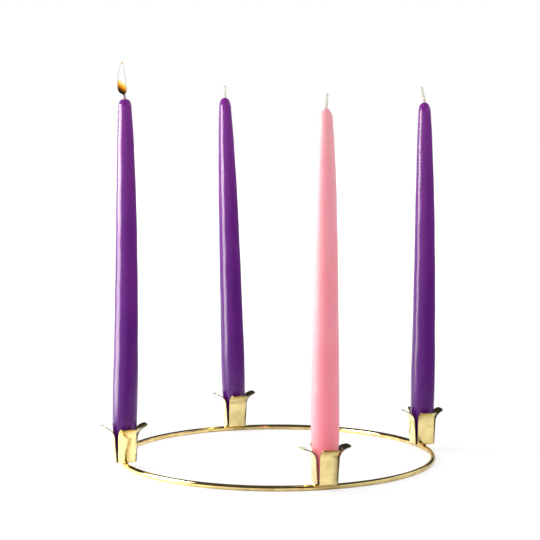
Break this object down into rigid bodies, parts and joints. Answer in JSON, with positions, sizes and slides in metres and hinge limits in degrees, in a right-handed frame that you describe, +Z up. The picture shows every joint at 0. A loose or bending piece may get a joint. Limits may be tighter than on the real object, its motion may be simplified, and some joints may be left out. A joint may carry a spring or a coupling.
{
  "type": "advent candle holder",
  "caption": "Brass wire hoop that stands on a table, with petal-shaped sheet-metal cups brazed on top; each cup holds a tall taper candle that lifts out.",
  "frame": {"origin": "centre of the hoop, on the table plane that its rod rests on", "axes": "+Z up; the front cup, with the pink candle, is on -Y, the right cup on +X, the rear cup on +Y and the left cup, with the lit candle, on -X"},
  "size_m": [0.3131, 0.3116, 0.3285],
  "materials": {
    "brass_rod": "polished",
    "brass_sheet": "polished",
    "braze_metal": "satin",
    "violet_wax": "satin",
    "pink_wax": "satin",
    "cotton_wick": "matte",
    "burnt_wick": "matte"
  },
  "bodies": {
    "holder": {"hoop": "brass_rod", "butt_joint": "braze_metal", "cup_front": "brass_sheet", "cup_right": "brass_sheet", "cup_rear": "brass_sheet", "cup_left": "brass_sheet", "braze_front": "braze_metal", "braze_right": "braze_metal", "braze_rear": "braze_metal", "braze_left": "braze_metal"},
    "front_candle": {"candle_front": "pink_wax", "wick_front": "cotton_wick"},
    "right_candle": {"candle_right": "violet_wax", "wick_right": "cotton_wick"},
    "rear_candle": {"candle_rear": "violet_wax", "wick_rear": "cotton_wick"},
    "left_candle": {"candle_left": "violet_wax", "wick_left": "burnt_wick"}
  },
  "joints": [
    {"name": "front_candle_lift", "type": "slide", "parent": "holder", "child": "front_candle", "axis": [0, 0, 1], "range_m": [0, 0.06]},
    {"name": "right_candle_lift", "type": "slide", "parent": "holder", "child": "right_candle", "axis": [0, 0, 1], "range_m": [0, 0.06]},
    {"name": "rear_candle_lift", "type": "slide", "parent": "holder", "child": "rear_candle", "axis": [-0.0267, 0.0082, 0.9996], "range_m": [0, 0.06]},
    {"name": "left_candle_lift", "type": "slide", "parent": "holder", "child": "left_candle", "axis": [0.0083, -0.0026, 1], "range_m": [0, 0.06]}
  ]
}
